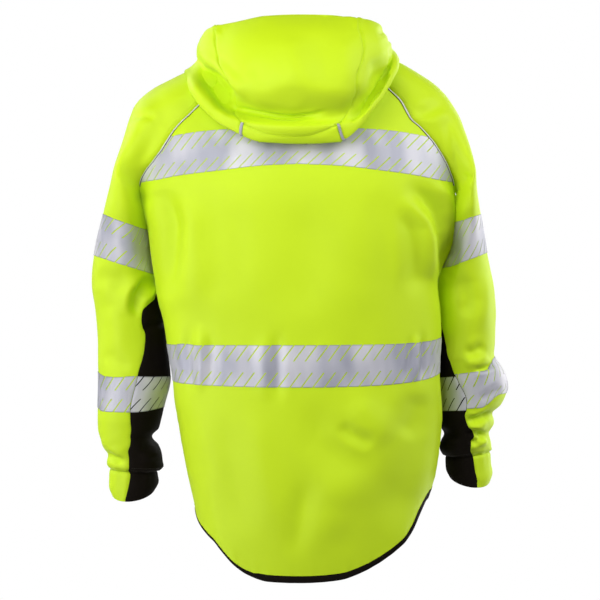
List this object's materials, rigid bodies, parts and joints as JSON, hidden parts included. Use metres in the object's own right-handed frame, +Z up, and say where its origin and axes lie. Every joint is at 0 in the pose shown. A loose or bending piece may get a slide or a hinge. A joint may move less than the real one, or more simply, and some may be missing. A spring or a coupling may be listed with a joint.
{
  "type": "high-visibility hoodie",
  "caption": "Hollow high-visibility pullover hoodie with folded-down hood, drop-tail hem, raglan sleeves, black under sleeves and grey reflective tape.",
  "frame": {"origin": "middle of the neck opening, where the garment is held up", "axes": "+X to the wearer's left, +Y to the wearer's back, +Z up"},
  "size_m": [0.6711, 0.3169, 0.8842],
  "materials": {
    "yellow_fleece": "fluorescent yellow-green brushed fleece, matt",
    "black_fleece": "black brushed fleece, matt",
    "reflective_tape": "grey segmented retro-reflective tape, soft sheen"
  },
  "bodies": {
    "root": {"back_panel": "yellow_fleece", "front_panel": "yellow_fleece", "sleeve_upper_left": "yellow_fleece", "sleeve_upper_right": "yellow_fleece", "cuff_outer_left": "yellow_fleece", "cuff_outer_right": "yellow_fleece", "hood_center": "yellow_fleece", "hood_nape_insert": "yellow_fleece", "hood_side_left": "yellow_fleece", "hood_side_right": "yellow_fleece", "sleeve_under_left": "black_fleece", "sleeve_under_right": "black_fleece", "cuff_inner_left": "black_fleece", "cuff_inner_right": "black_fleece", "hem_binding_back": "black_fleece", "hem_binding_front": "black_fleece", "tape_chest_back": "reflective_tape", "tape_chest_front": "reflective_tape", "tape_waist_back": "reflective_tape", "tape_waist_front": "reflective_tape", "tape_arm_upper_left": "reflective_tape", "tape_arm_upper_right": "reflective_tape", "tape_arm_lower_outer_left": "reflective_tape", "tape_arm_lower_outer_right": "reflective_tape", "tape_arm_lower_under_left": "reflective_tape", "tape_arm_lower_under_right": "reflective_tape", "piping_back_left": "reflective_tape", "piping_back_right": "reflective_tape", "piping_front_left": "reflective_tape", "piping_front_right": "reflective_tape", "hood_tab_left": "reflective_tape", "hood_tab_right": "reflective_tape"}
  },
  "joints": []
}
